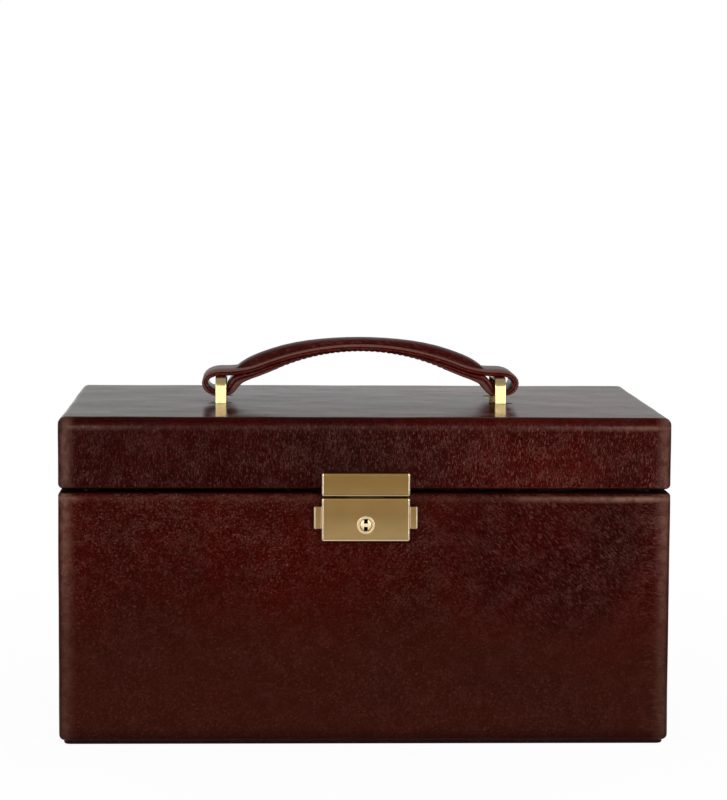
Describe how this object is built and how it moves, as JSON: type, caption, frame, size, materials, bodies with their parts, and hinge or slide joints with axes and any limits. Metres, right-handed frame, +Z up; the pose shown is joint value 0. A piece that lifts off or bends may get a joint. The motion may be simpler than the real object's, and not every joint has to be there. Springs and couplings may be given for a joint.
{
  "type": "jewellery case",
  "caption": "Leather-covered jewellery case with a hinged lid, squeeze lock, arched carry handle on staples, mirror in the lid and a lift-out tray.",
  "frame": {"origin": "middle of the flat underside of the base panel, which stands on the table", "axes": "+X to the right as seen from the front, +Y to the rear where the hinges are, +Z up; the lock faces -Y"},
  "size_m": [0.28, 0.1881, 0.1814],
  "materials": {
    "case_leather": "polished, mottled red-brown",
    "handle_leather": "polished, dark red-brown",
    "brass_satin": "satin",
    "brass_polished": "polished",
    "brass_hardware": "plain",
    "steel": "plain",
    "suede": "napped suede, tan",
    "board": "sanded board",
    "foam": "soft foam",
    "mirror_glass": "silvered"
  },
  "bodies": {
    "case": {"base_panel": "case_leather", "body_back_board": "board", "body_bottom_board": "board", "body_front_board": "board", "body_leather": "case_leather", "body_left_board": "board", "body_lining": "suede", "body_right_board": "board", "ear_spring_left": "steel", "ear_spring_right": "steel", "floor_lining": "suede", "hinge_body_leaf_left": "brass_hardware", "hinge_body_leaf_right": "brass_hardware", "hinge_body_screws": "brass_hardware", "hinge_pins": "brass_hardware", "lock_back_plate": "brass_hardware", "lock_bezel": "brass_satin", "lock_case": "brass_satin", "lock_screws": "steel", "lower_cross_dividers": "suede", "lower_divider_long": "suede", "tray_ledges": "suede"},
    "lid": {"hasp_plate": "brass_satin", "hasp_screws": "steel", "hasp_tongue": "brass_hardware", "hinge_lid_leaf_left": "brass_hardware", "hinge_lid_leaf_right": "brass_hardware", "hinge_lid_screws": "brass_hardware", "lid_back_board": "board", "lid_foam": "foam", "lid_front_board": "board", "lid_leather": "case_leather", "lid_left_board": "board", "lid_lining": "suede", "lid_panel": "suede", "lid_right_board": "board", "lid_top_board": "board", "mirror": "mirror_glass", "mirror_surround": "suede", "staple_left": "brass_polished", "staple_plates": "brass_polished", "staple_right": "brass_polished"},
    "handle": {"handle_strap": "handle_leather", "handle_core": "handle_leather"},
    "tray": {"tray_back_wall": "suede", "tray_floor": "suede", "tray_front_wall": "suede", "tray_left_wall": "suede", "tray_main_divider": "suede", "tray_right_wall": "suede", "tray_row_divider": "suede", "tray_short_dividers": "suede", "ring_rolls": "suede", "pull_tabs": "handle_leather"},
    "ear_left": {"ear_slider_left": "brass_satin"},
    "ear_right": {"ear_slider_right": "brass_satin"},
    "key_plug": {"lock_plug": "brass_hardware", "lock_cam": "brass_hardware"}
  },
  "joints": [
    {"name": "lid_hinge", "type": "hinge", "parent": "case", "child": "lid", "pos_m": [0, 0.091, 0.1173], "axis": [-1, 0, 0], "range_deg": [0, 100]},
    {"name": "handle_lift", "type": "slide", "parent": "lid", "child": "handle", "axis": [0, 0, 1], "range_m": [0, 0.0037]},
    {"name": "tray_lift", "type": "slide", "parent": "case", "child": "tray", "axis": [0, 0, 1], "range_m": [0, 0.019]},
    {"name": "ear_left_push", "type": "slide", "parent": "case", "child": "ear_left", "axis": [1, 0, 0], "range_m": [0, 0.0028], "stiffness_N_per_m": 400, "springref_m": -0.002, "deforming": ["ear_spring_left"]},
    {"name": "ear_right_push", "type": "slide", "parent": "case", "child": "ear_right", "axis": [-1, 0, 0], "range_m": [0, 0.0028], "stiffness_N_per_m": 400, "springref_m": -0.002, "deforming": ["ear_spring_right"]},
    {"name": "key_turn", "type": "hinge", "parent": "case", "child": "key_plug", "pos_m": [0, -0.0945, 0.1023], "axis": [0, 1, 0], "range_deg": [0, 90]}
  ]
}
